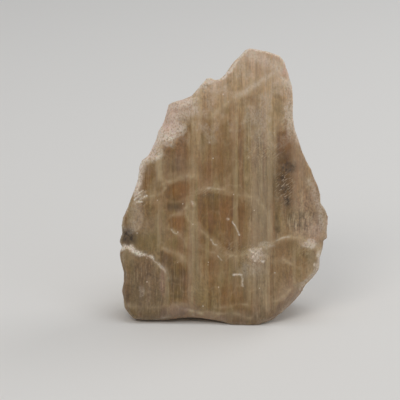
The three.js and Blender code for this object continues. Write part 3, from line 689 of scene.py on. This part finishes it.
def milky_veils(spots, front, windows, broken_up):
    """The strength of healed cracks: a broken line, wider on the back, with a haze round it."""
    cover = np.zeros(len(spots))
    for half_width, haze, strength, *points in VEILS:
        far = distance_to_line(spots, curve_through(points))
        sharp = np.exp(-((far / (half_width * (1.9 - 0.9 * front))) ** 1.5))
        glow = 0.36 * np.exp(-((far / haze) ** 2)) * (1 - 0.8 * windows)
        cover = np.maximum(cover, strength * (0.74 * sharp * broken_up + glow))
    return cover


def thin_sheets(place, pitch, seed, sharpness):
    """Winding sheets in the stone, where noise passes through 0."""
    return np.clip(1.0 - np.abs(layered_noise(place, pitch, seed)) * sharpness, 0, 1)


def honey_depth_and_top_light(place, spots, front, windows):
    """How deep the honey colour lies: least at the peak, more in the windows, and less on the back. Its
    fall towards the peak is partly the stone's own colour and partly painted light from above.
    """
    up = place[:, 2]
    depth = np.interp(up, *FACE_DEPTHS_AND_TOP_LIGHT)
    depth = depth + 0.18 * smooth_step(-9.0, -10.5, spots[:, 0]) * smooth_step(13.0, 9.0, up)
    depth = depth - 0.10 * smooth_step(7.0, 12.0, spots[:, 0]) * smooth_step(24.0, 14.0, up)
    depth = depth + 0.08 * layered_noise(place, (2.4, 2.4, 5.0), 79)
    back_depth = np.interp(up, *BACK_DEPTHS)
    honey_and_top_light = front * (depth + 0.62 * windows * (1.05 - depth))
    return honey_and_top_light + (1 - front) * (back_depth + 0.75 * windows * (1.05 - back_depth))


def chalky_places(place, spots, ragged, facing, bruise, clumps):
    """The strength of white crushed stone, in patches, on ledges and bruises, and along the rim. On the
    ledge it is also a painted highlight where the ledge faces up to the light.
    """
    ledge_and_highlight = line_marks(0.6 * ragged + 0.4 * spots, LEDGES_AND_HIGHLIGHTS)
    chalk_and_highlight = np.maximum(np.maximum(patches(ragged, CHALK_PATCHES, CHALK_EDGE), ledge_and_highlight), bruise)
    rim = np.exp(-((rim_distance(place, facing) / CRUSHED_RIM) ** 2))
    crushed = 0.16 + 0.60 * smooth_step(1.0, -4.0, spots[:, 0]) * smooth_step(12.0, 20.0, place[:, 2])
    crushed += 0.22 * smooth_step(38.0, 42.0, place[:, 2])
    return np.maximum(chalk_and_highlight, crushed * rim * (0.35 + 0.65 * clumps))


def mark(stone):
    """Stores how strong each mark is at each point of the mesh, and gives the names of the marks."""
    mesh = stone.data
    place = on_face(coordinates(mesh))
    normals = vertex_normals(mesh)
    facing = -(normals @ FACE_AXES)[:, 1]
    front = share_of_face(place, facing, *FACE_OF_MARKS)
    back = 1 - front
    spots = place[:, [0, 2]] + np.maximum(place[:, 1:2] - 1.0, 0.0) * THROUGH
    drift = astray(place, (2.2, 2.2, 2.2), (41, 47))
    fine_drift = astray(place, (0.8, 0.8, 0.8), (43, 49))
    wavy = spots + 0.22 * drift + 0.10 * fine_drift
    ragged = spots + 0.5 * astray(place, (0.7, 0.7, 0.9), (53, 59))
    patchy = np.clip(0.80 + 0.55 * layered_noise(place, (0.9, 0.9, 1.8), 61), 0.15, 1.2)
    broken_up = np.clip(0.75 + 0.9 * layered_noise(place, (0.5, 0.5, 0.5), 65), 0.1, 1.3)
    clumps = smooth_step(-0.15, 0.35, layered_noise(place, (1.6, 1.6, 2.4), 71))

    bands = upright_marks(spots, place, PALE_BANDS, 1.5, lambda aside: smooth_step(1.30, 0.80, aside))
    seams = upright_marks(spots, place, DARK_SEAMS, 0.8, lambda aside: np.exp(-aside ** 2)) * patchy
    windows = clear_windows(wavy)
    veil = np.maximum(bands, milky_veils(wavy, front, windows, broken_up)) * patchy
    faint_sheets = thin_sheets(place, (2.6, 2.6, 4.2), 69, 12)
    web = np.maximum(0.70 * thin_sheets(place, (6.0, 6.0, 8.0), 67, 10), 0.30 * faint_sheets) * patchy
    bruise = line_marks(spots + 0.10 * drift + 0.12 * fine_drift, BRUISES) * broken_up
    # the pale rim: crushed stone and a painted highlight along the edges, and lighter over the upper part
    pale_rim_and_highlight = 0.20 * smooth_step(0.0, 0.5, drift[:, 0]) * smooth_step(26.0, 34.0, place[:, 2])
    pale_rim_and_highlight = np.maximum(pale_rim_and_highlight, line_marks(ragged * 0.5 + spots * 0.5, PALE_RIMS_AND_HIGHLIGHTS))
    # Crests are lighter, as broken stone and partly as a painted highlight of the edges; faces broken
    # across the fibres are chalky.
    crest = smooth_step(0.020, 0.055, crest_height(mesh))
    fracture = smooth_step(0.35, 0.75, normals @ FACE_AXES[:, 2])
    broken_and_highlit_edges = np.maximum(0.20 * crest * (0.4 + 0.6 * clumps), 0.20 * fracture * clumps)
    chalk_and_highlight = chalky_places(place, spots, ragged, facing, bruise, clumps)
    # smoky inclusions, with painted shade low along the foot and on the lower right bevel
    smoke_and_shade = patches(0.5 * (ragged + wavy), SMOKE_AND_SHADE_PATCHES, 0.9)

    marks = {
        # honey depth, which falls towards the top partly as painted light from above
        "honey_and_top_light": honey_depth_and_top_light(place, spots, front, windows),
        "veil": front * veil + back * np.maximum(0.5 * web, veil) + front * 0.20 * faint_sheets * patchy,
        "chalk_and_highlight": np.maximum(front * chalk_and_highlight, back * broken_and_highlit_edges),
        "smoke_and_shade": np.maximum(front * smoke_and_shade, seams),
        # the pale rim: crushed stone and a painted highlight along the edges
        "rim": front * pale_rim_and_highlight,
        "cleaved": back,
    }
    for name, (rows, edge, on_back, all_over_back) in PATCH_MARKS.items():
        marks[name] = (front + on_back * back) * patches(wavy, rows, edge) + all_over_back * back
    marks["blush"] += back * 0.06 * clumps
    marks["fibre"] = LEAST_FIBRE + (1 - LEAST_FIBRE) * marks["fibre"]
    for name, values in marks.items():
        layer = mesh.attributes.new(name, "FLOAT", "POINT")
        layer.data.foreach_set("value", np.clip(values, 0, 1).astype(np.float32))
    return list(marks)


# ---------------- what the finish is made of
# Soft patterns in the stone: pitch across, into the stone and up the fibres, detail, roughness, and their
# slant from the fibres in degrees.
NOISES = {
    # Bundles of fibres run the height of the stone and are about a millimetre wide.
    "bundles": ((0.90, 0.90, 40.0), 1.0, 0.50, 0),
    # Single fibres are a few hundredths of a millimetre: too fine to show, so they are drawn 5 times wider.
    "fibres": ((0.30, 0.30, 8.0), 2.0, 0.50, 0),
    "hairs": ((0.15, 0.15, 3.2), 2.0, 0.50, 0),
    # Iron and inclusions change the colour every few millimetres, drawn out along the fibres.
    "hues": ((2.20, 2.20, 5.5), 2.0, 0.50, 0),
    "clouds": ((2.60, 2.60, 3.4), 3.0, 0.55, 0),
    "stirring": ((3.20, 3.20, 4.5), 1.0, 0.50, 0),
    "blotches": ((1.30, 1.30, 1.5), 2.0, 0.55, 0),
    "mottle": ((0.75, 0.75, 1.0), 3.0, 0.60, 0),
    # Crushed grains are 0.02 to 0.1 mm: too fine to show, so they are drawn a quarter to half a mm wide.
    "flecks": ((0.50, 0.50, 0.62), 2.0, 0.60, 0),
    "specks": ((0.30, 0.30, 0.36), 3.0, 0.60, 0),
    "grain": ((0.26, 0.26, 0.32), 1.0, 0.50, 0),
    "streaks": ((0.24, 0.24, 0.90), 2.0, 0.60, 0),
    # Fine cracks cross the fibres both ways, a millimetre long and a fifth as wide.
    "rising": ((0.20, 0.20, 1.1), 2.0, 0.60, 52),
    "falling": ((0.20, 0.20, 1.3), 2.0, 0.60, -44),
}
# Cells that each have a value of their own, by pitch: cleavage laths of a millimetre and of a third of one,
# the short ends of broken fibres, and places for painted glints, white specks about one to a square
# millimetre.
CELLS = {
    "broad_laths": (0.95, 0.95, 15.0),
    "slim_laths": (0.34, 0.34, 4.5),
    "fibre_ends": (0.34, 0.34, 2.2),
    "glint_places": (0.85, 0.85, 0.95),
}
# Each stage first picks out parts of a pattern, softly from a value where they start to one where they are
# full. Then it adds up sums: what they start from, and rows of a pattern, its middle, its weight, how much.
STAGES = [
    ({
        "stirred": ("stirring", 0.42, 0.58),
        "pale_hairs": ("hairs", 0.52, 0.74),
        "dark_hairs": ("hairs", 0.46, 0.28),
        "dark_ends": ("fibre_ends", 0.55, 0.75),
        "pale_ends": ("fibre_ends", 0.35, 0.20),
        "smoke_flecks": ("flecks", 0.30, 0.70),
        "rising_cracks": ("rising", 0.52, 0.66),
        "falling_cracks": ("falling", 0.54, 0.68),
        "worn_specks": ("specks", 0.34, 0.60),
        "chalk_specks": ("specks", 0.34, 0.58),
        # painted glints: small white specks where the surface would sparkle
        "glint_shape": ("glint_places_distance", 0.17, 0.08),
        "glint_chance": ("glint_places", 0.88, 0.92),
    }, {
        "crushed": (0.25, [("granular", 0.0, "all", 0.75)]),
        "more_crushed": (0.50, [("granular", 0.0, "all", 0.75)]),
        "most_crushed": (0.70, [("granular", 0.0, "all", 0.75)]),
        "streaky": (0.25, [("stirred", 0.0, "all", 1.0)]),
        "fibrous": (0.35, [("fibre", 0.0, "all", 1.0)]),
        "smoke_grain": (0.578, [("smoke_flecks", 0.0, "all", 0.733)]),
        "rim_grain": (0.45, [("worn_specks", 0.0, "all", 1.0)]),
        "chalk_grain": (0.40, [("chalk_specks", 0.0, "all", 1.0)]),
        "hue": (0.0, [("hues", 0.0, "all", 0.70), ("broad_laths", 0.0, "all", 0.30)]),
        # starts from the honey depth, lighter towards the top partly as painted light from above
        "depth": ("honey_and_top_light", [
            ("clouds", 0.5, "all", 0.56), ("blotches", 0.5, "all", 0.36),
            ("mottle", 0.5, "more_crushed", 0.60), ("bundles", 0.5, "all", 0.26),
            ("broad_laths", 0.5, "all", 0.22), ("fibres", 0.5, "fibre", 0.56)]),
        "tone": (1.0, [
            ("grain", 0.5, "crushed", 1.00), ("streaks", 0.5, "streaky", 0.50),
            ("flecks", 0.5, "most_crushed", 0.75), ("mottle", 0.5, "crushed", 0.30),
            ("slim_laths", 0.5, "fibrous", 0.11), ("fibres", 0.5, "fibre", 0.40)]),
        "height": (0.0, [
            ("fibres", 0.0, "all", 0.60), ("hairs", 0.0, "all", 0.35), ("slim_laths", 0.0, "all", 0.30),
            ("slim_laths", 0.0, "cleaved", 0.30), ("broad_laths", 0.0, "cleaved", 1.00),
            ("specks", 0.0, "chalk_and_highlight", 1.60)]),
        "roughness": (0.40, [
            ("chalk_and_highlight", 0.0, "all", 0.35), ("cleaved", 0.0, "all", -0.17), ("fibres", 0.5, "all", 0.25)]),
    }),
    ({
        "rosy": ("hue", 0.50, 0.66),
        "mossy": ("hue", 0.50, 0.34),
        "deep": ("depth", 0.25, 0.60),
    }, {}),
]
# The colour from where the stone looks pale and shallow to where it looks deep and clear.
DEPTH_COLOURS = [(0.0, "CBAE91"), (0.30, "B2956E"), (0.60, "92744A"), (0.82, "7D5C2B"), (1.0, "63451C")]
# The colours laid over that, from the inside out: where, weighed with what, how strongly, and which. The
# tone darkens or lightens what is under it, and the others cover it.
COATS = [
    ("rosy", "all", 0.24, "B58868"),
    ("mossy", "deep", 0.32, "8F8150"),
    ("amber", "all", 0.55, "925E1E"),
    ("grey", "all", 0.65, "988770"),
    # dun stone, with painted shade along the foot and on the lower right bevel
    ("dun_and_shade", "all", 0.72, "756149"),
    ("olive", "all", 0.60, "786632"),
    ("blush", "all", 0.55, "C09C88"),
    ("pale_hairs", "fibre", 0.36, "CDB998"),
    ("dark_hairs", "fibre", 0.34, "5E452A"),
    ("dark_ends", "comb", 0.50, "54432F"),
    ("pale_ends", "comb", 0.38, "CBB79B"),
    ("all", "all", 1.00, "tone"),
    ("veil", "all", 0.80, "C9B491"),
    # smoky inclusions and dark seams, with painted shade along the foot and the lower right bevel
    ("smoke_and_shade", "smoke_grain", 0.90, "2A1A09"),
    ("hatch", "falling_cracks", 0.46, "4A3822"),
    ("hatch", "rising_cracks", 0.50, "D6C4A8"),
    # the pale rim: crushed stone and a painted highlight along the edges
    ("rim", "rim_grain", 1.00, "E2D3C2"),
    # white crushed stone, with a painted highlight on the ledge and on the crests of the back
    ("chalk_and_highlight", "chalk_grain", 1.00, "chalk_colour"),
    # painted glints: small white specks where the surface would sparkle
    ("glint_shape", "glint_chance", 0.60, "chalk_colour"),
]
# The numbers of a colour mix's sockets: its share, the colour under, the colour over, and the result.
MIX_SHARE, MIX_UNDER, MIX_OVER, MIX_RESULT = 0, 6, 7, 2


# ---------------- materials
def add_node(tree, kind, inputs=None, **settings):
    """Adds a node with its settings, and fills its inputs. Those that are given as sockets are joined."""
    node = tree.nodes.new(kind)
    for name, value in settings.items():
        setattr(node, name, value)
    for name, value in (inputs or {}).items():
        if isinstance(value, bpy.types.NodeSocket):
            tree.links.new(value, node.inputs[name])
        else:
            node.inputs[name].default_value = value
    return node


def stone_patterns(tree, marks):
    """The marks stored on the mesh, and the patterns in the stone, which lie along its broad face."""
    values = {"all": 1.0}
    for name in marks:
        values[name] = add_node(tree, "ShaderNodeAttribute", attribute_name=name).outputs["Fac"]
    place = add_node(tree, "ShaderNodeTexCoord").outputs["Object"]
    turn = Matrix(FACE_AXES.tolist()).to_euler("XYZ")
    frame_of_face = {"Vector": place, "Location": tuple(FACE_ORIGIN * MM), "Rotation": tuple(turn),
                     "Scale": (MM, MM, MM)}
    stone = add_node(tree, "ShaderNodeMapping", frame_of_face, vector_type="TEXTURE").outputs["Vector"]
    for name, (pitch, detail, roughness, slant) in NOISES.items():
        slanted = {"Vector": stone, "Scale": pitch, "Rotation": (0.0, math.radians(slant), 0.0)}
        drawn = add_node(tree, "ShaderNodeMapping", slanted, vector_type="TEXTURE").outputs["Vector"]
        form = {"Vector": drawn, "Scale": 1.0, "Detail": detail, "Roughness": roughness}
        values[name] = add_node(tree, "ShaderNodeTexNoise", form).outputs["Fac"]
    for name, pitch in CELLS.items():
        upright = {"Vector": stone, "Scale": pitch}
        drawn = add_node(tree, "ShaderNodeMapping", upright, vector_type="TEXTURE").outputs["Vector"]
        cells = add_node(tree, "ShaderNodeTexVoronoi", {"Vector": drawn, "Scale": 1.0})
        chance = add_node(tree, "ShaderNodeSeparateColor", {"Color": cells.outputs["Color"]})
        values[name] = chance.outputs["Red"]
        values[name + "_distance"] = cells.outputs["Distance"]
    return values


def work_out(tree, values):
    """Picks out the parts and adds up the sums of each stage, and puts them with the other values."""
    for parts, sums in STAGES:
        for name, (pattern, start, full) in parts.items():
            limits = {"Value": values[pattern], "From Min": start, "From Max": full}
            part = add_node(tree, "ShaderNodeMapRange", limits, interpolation_type="SMOOTHSTEP")
            values[name] = part.outputs["Result"]
        for name, (start, rows) in sums.items():
            total = values.get(start, start)
            for pattern, middle, weight, amount in rows:
                terms = {0: values[pattern], 1: middle}
                swing = add_node(tree, "ShaderNodeMath", terms, operation="SUBTRACT").outputs[0]
                terms = {0: swing, 1: values[weight]}
                weighed = add_node(tree, "ShaderNodeMath", terms, operation="MULTIPLY").outputs[0]
                terms = {0: weighed, 1: amount, 2: total}
                total = add_node(tree, "ShaderNodeMath", terms, operation="MULTIPLY_ADD").outputs[0]
            values[name] = total


def coated_colour(tree, values):
    """The colour of the stone with its coats laid over it one by one."""
    ramp = add_node(tree, "ShaderNodeValToRGB", {"Fac": values["depth"]})
    for position, _ in DEPTH_COLOURS[1:-1]:
        ramp.color_ramp.elements.new(position)
    for element, (_, code) in zip(ramp.color_ramp.elements, DEPTH_COLOURS):
        element.color = linear_colour(code)
    rosy_chalk = {MIX_SHARE: values["blush"], MIX_UNDER: linear_colour("E8DCCC"),
                  MIX_OVER: linear_colour("DABFB0")}
    chalk_and_highlight = add_node(tree, "ShaderNodeMix", rosy_chalk, data_type="RGBA")
    values["chalk_colour"] = chalk_and_highlight.outputs[MIX_RESULT]
    colour = ramp.outputs["Color"]
    for where, weight, strength, paint in COATS:
        terms = {0: values[where], 1: values[weight]}
        cover = add_node(tree, "ShaderNodeMath", terms, operation="MULTIPLY", use_clamp=True).outputs[0]
        share = add_node(tree, "ShaderNodeMath", {0: cover, 1: strength}, operation="MULTIPLY").outputs[0]
        over = values[paint] if paint in values else linear_colour(paint)
        layers = {MIX_SHARE: share, MIX_UNDER: colour, MIX_OVER: over}
        blend = "MULTIPLY" if paint == "tone" else "MIX"
        coat = add_node(tree, "ShaderNodeMix", layers, data_type="RGBA", blend_type=blend)
        colour = coat.outputs[MIX_RESULT]
    return colour


def fibrous_amphibole(marks):
    """Winchite: a silky, slightly see-through amphibole, cleaved along its fibres. Light sinks in about a
    millimetre, which gives a waxy honey depth, and the fibres give a soft sheen that runs upright."""
    material = bpy.data.materials.new("fibrous_amphibole")
    material.use_nodes = True
    tree = material.node_tree
    tree.nodes.clear()
    values = stone_patterns(tree, marks)
    work_out(tree, values)
    furrows = {"Height": values["height"], "Strength": 0.55, "Distance": RELIEF_OF_FIBRES * MM}
    bump = add_node(tree, "ShaderNodeBump", furrows)
    shader = add_node(tree, "ShaderNodeBsdfPrincipled", {
        "Base Color": coated_colour(tree, values), "Roughness": values["roughness"],
        "Normal": bump.outputs["Normal"], "IOR": 1.62, "Specular IOR Level": 0.4,
        "Subsurface Weight": 0.35, "Subsurface Radius": (1.0, 0.62, 0.36),
        "Subsurface Scale": DEPTH_OF_LIGHT * MM})
    add_node(tree, "ShaderNodeOutputMaterial", {"Surface": shader.outputs["BSDF"]})
    return material


def backdrop_paper():
    """Studio backdrop paper, pressed and uncoated: pale, even and quite matt."""
    material = bpy.data.materials.new("backdrop_paper")
    material.use_nodes = True
    shader = material.node_tree.nodes["Principled BSDF"]
    shader.inputs["Base Color"].default_value = linear_colour("E4E3E1")
    shader.inputs["Roughness"].default_value = 0.85
    return material


# ---------------- studio
FLOOR_HALF_SIZE = 3.0    # metres
MIDDLE_OF_STONE = Vector((0.0, 0.0, 0.02))   # metres
CAMERA_HEIGHT_ANGLE = math.radians(17)
CAMERA_DISTANCE = 330.0
SENSOR_WIDTH = 36.0
FRAME_PIXELS = 400.0
PIXELS_PER_MM = 6.0
FOOT_PIXEL = (223.7, 325.3)   # where the origin of the face stands in the frame


def make_floor():
    sheet = bmesh.new()
    bmesh.ops.create_grid(sheet, x_segments=1, y_segments=1, size=FLOOR_HALF_SIZE)
    mesh = bpy.data.meshes.new("floor")
    sheet.to_mesh(mesh)
    sheet.free()
    floor = bpy.data.objects.new("floor", mesh)
    bpy.context.scene.collection.objects.link(floor)
    mesh.materials.append(backdrop_paper())


def add_softbox(name, place, size, watts, colour="FFFFFF"):
    """A soft rectangular lamp that shines on the middle of the stone."""
    lamp = bpy.data.lights.new(name, "AREA")
    lamp.shape = "RECTANGLE"
    lamp.size, lamp.size_y = size
    lamp.energy = watts
    lamp.color = linear_colour(colour)[:3]
    holder = bpy.data.objects.new(name, lamp)
    holder.location = place
    holder.rotation_euler = (MIDDLE_OF_STONE - Vector(place)).to_track_quat("-Z", "Y").to_euler()
    bpy.context.scene.collection.objects.link(holder)


def light_studio():
    world = bpy.data.worlds.new("studio_air")
    bpy.context.scene.world = world
    world.use_nodes = True
    air = world.node_tree.nodes["Background"]
    air.inputs["Color"].default_value = linear_colour("F4F6F8")
    air.inputs["Strength"].default_value = 0.35
    add_softbox("key", (-0.20, -0.42, 0.46), (0.35, 0.30), 1.08, "FFF8F0")
    add_softbox("top", (0.10, 0.05, 0.50), (0.40, 0.30), 0.7)
    add_softbox("fill", (0.40, -0.35, 0.20), (0.25, 0.30), 0.12)
    add_softbox("back", (0.40, 0.30, 0.32), (0.30, 0.30), 0.72)


def place_camera():
    """Looks at the face almost squarely, with the foot of the face at its own pixel."""
    lens = bpy.data.cameras.new("camera")
    lens.sensor_width = SENSOR_WIDTH
    lens.lens = SENSOR_WIDTH * CAMERA_DISTANCE * PIXELS_PER_MM / FRAME_PIXELS
    lens.clip_start = 0.01
    lens.clip_end = 20.0
    across = (FRAME_PIXELS / 2 - FOOT_PIXEL[0]) / PIXELS_PER_MM
    up = (FOOT_PIXEL[1] - FRAME_PIXELS / 2) / PIXELS_PER_MM
    aim = FACE_ORIGIN + FACE_AXES @ np.array([across, 0.0, up])
    back = np.array([0.0, -math.cos(CAMERA_HEIGHT_ANGLE), math.sin(CAMERA_HEIGHT_ANGLE)])
    camera = bpy.data.objects.new("camera", lens)
    camera.location = Vector((aim + CAMERA_DISTANCE * back) * MM)
    camera.rotation_euler = Euler((math.pi / 2 - CAMERA_HEIGHT_ANGLE, 0.0, 0.0))
    bpy.context.scene.collection.objects.link(camera)
    bpy.context.scene.camera = camera


# ---------------- making
bpy.context.scene.view_settings.view_transform = "Standard"
place_camera()
light_studio()
make_floor()

stone = fine_copy(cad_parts["winchite_crystal"])
straighten_back(stone)
front = weather(stone)
thin_out(stone, front)
marks = mark(stone)
stone.data.transform(Matrix.Scale(MM, 4))
stone.data.name = "winchite_stone"
stone.data.materials.clear()
stone.data.materials.append(fibrous_amphibole(marks))
for face in stone.data.polygons:
    face.use_smooth = True
stone.data.set_sharp_from_angle(angle=CREASE_ANGLE)
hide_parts("winchite_crystal")
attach(stone, "root")
